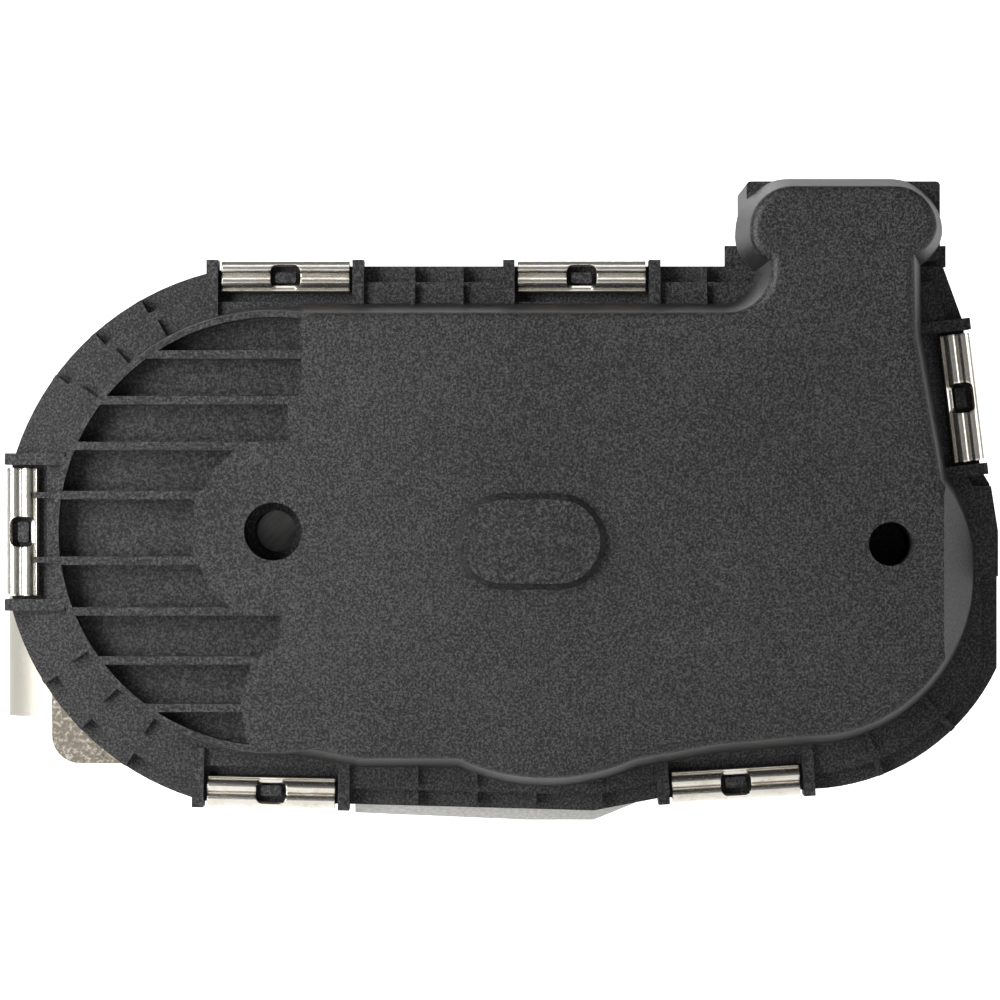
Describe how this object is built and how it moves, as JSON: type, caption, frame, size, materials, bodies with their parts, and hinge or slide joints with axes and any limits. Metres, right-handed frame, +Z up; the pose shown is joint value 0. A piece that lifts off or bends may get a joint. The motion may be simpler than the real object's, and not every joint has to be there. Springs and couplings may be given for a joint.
{
  "type": "throttle body",
  "caption": "Electronic throttle body: round bore with butterfly plate, square manifold flange, gear case with clipped plastic cover and connector, motor beside the bore.",
  "frame": {"origin": "centre of the throttle bore on the manifold flange's mating face", "axes": "+Z up the bore to the air inlet, +X from the bore to the motor, +Y away from the gear cover, along the throttle shaft"},
  "size_m": [0.1231, 0.1123, 0.0785],
  "materials": {
    "bearing_steel": "polished",
    "black_plastic": "moulded glass-filled PBT, fine grain",
    "board_laminate": "solder mask",
    "brass_pinion": "machined brass",
    "carbon": "pressed carbon, matte",
    "cast_aluminium": "die cast, satin, machined on the flange face and in the bore",
    "copper": "enamelled copper wire and bare segments",
    "ground_steel": "ground",
    "lamination_steel": "stacked laminations",
    "magnet_ferrite": "sintered ferrite, matte",
    "motor_can_steel": "drawn zinc plated steel",
    "natural_gear_plastic": "moulded, natural, satin",
    "nickel_spring_steel": "nickel plated spring steel, bright",
    "plate_aluminium": "turned, satin",
    "seal_rubber": "matte",
    "sintered_bronze": "sintered bronze, matte",
    "spring_wire": "drawn spring wire",
    "tinned_terminals": "tin plated bronze",
    "zinc_screws": "zinc plated"
  },
  "bodies": {
    "housing": {"throttle_housing": "cast_aluminium", "gear_cover": "black_plastic", "cover_seal": "seal_rubber", "flange_seal": "seal_rubber", "drive_side_shaft_seal": "seal_rubber", "far_side_shaft_seal": "seal_rubber", "cover_clip_1": "nickel_spring_steel", "cover_clip_2": "nickel_spring_steel", "cover_clip_3": "nickel_spring_steel", "cover_clip_4": "nickel_spring_steel", "cover_clip_5": "nickel_spring_steel", "cover_clip_6": "nickel_spring_steel", "needle_bearing_cup": "bearing_steel", "needle_rollers": "bearing_steel", "far_bearing_outer_race": "bearing_steel", "far_bearing_balls": "bearing_steel", "far_side_cap": "zinc_screws", "intermediate_axle": "ground_steel", "return_spring": "spring_wire", "stop_screw": "zinc_screws", "motor_can": "motor_can_steel", "motor_end_plate": "motor_can_steel", "motor_screws": "zinc_screws", "motor_front_bush": "sintered_bronze", "motor_rear_bush": "sintered_bronze", "motor_magnets": "magnet_ferrite", "motor_brushes": "carbon", "brush_holder": "black_plastic", "connector_terminals": "tinned_terminals", "sensor_stator_ring": "lamination_steel", "sensor_board": "board_laminate", "motor_contacts": "tinned_terminals"},
    "throttle": {"throttle_shaft": "ground_steel", "throttle_plate": "plate_aluminium", "plate_screws": "zinc_screws", "segment_gear": "natural_gear_plastic", "sensor_magnet_ring": "magnet_ferrite", "far_bearing_inner_race": "bearing_steel"},
    "intermediate": {"intermediate_gear": "natural_gear_plastic"},
    "motor_rotor": {"motor_shaft": "ground_steel", "motor_pinion": "brass_pinion", "armature_core": "lamination_steel", "armature_windings": "copper", "commutator": "copper"}
  },
  "joints": [
    {"name": "throttle_turn", "type": "hinge", "parent": "housing", "child": "throttle", "pos_m": [0, 0, 0.0235], "axis": [0, -1, 0], "range_deg": [-7, 80], "stiffness_Nm_per_rad": 0.06},
    {"name": "intermediate_turn", "type": "hinge", "parent": "housing", "child": "intermediate", "pos_m": [0.03098, 0, 0.0223], "axis": [0, -1, 0], "range_deg": [-280, 30]},
    {"name": "motor_turn", "type": "hinge", "parent": "housing", "child": "motor_rotor", "pos_m": [0.05378, 0, 0.0223], "axis": [0, -1, 0], "range_deg": [-135, 1470]}
  ],
  "couplings": [
    {"joint": "intermediate_turn", "follows": "throttle_turn", "ratio": -3.4286},
    {"joint": "motor_turn", "follows": "throttle_turn", "ratio": 18.286}
  ]
}
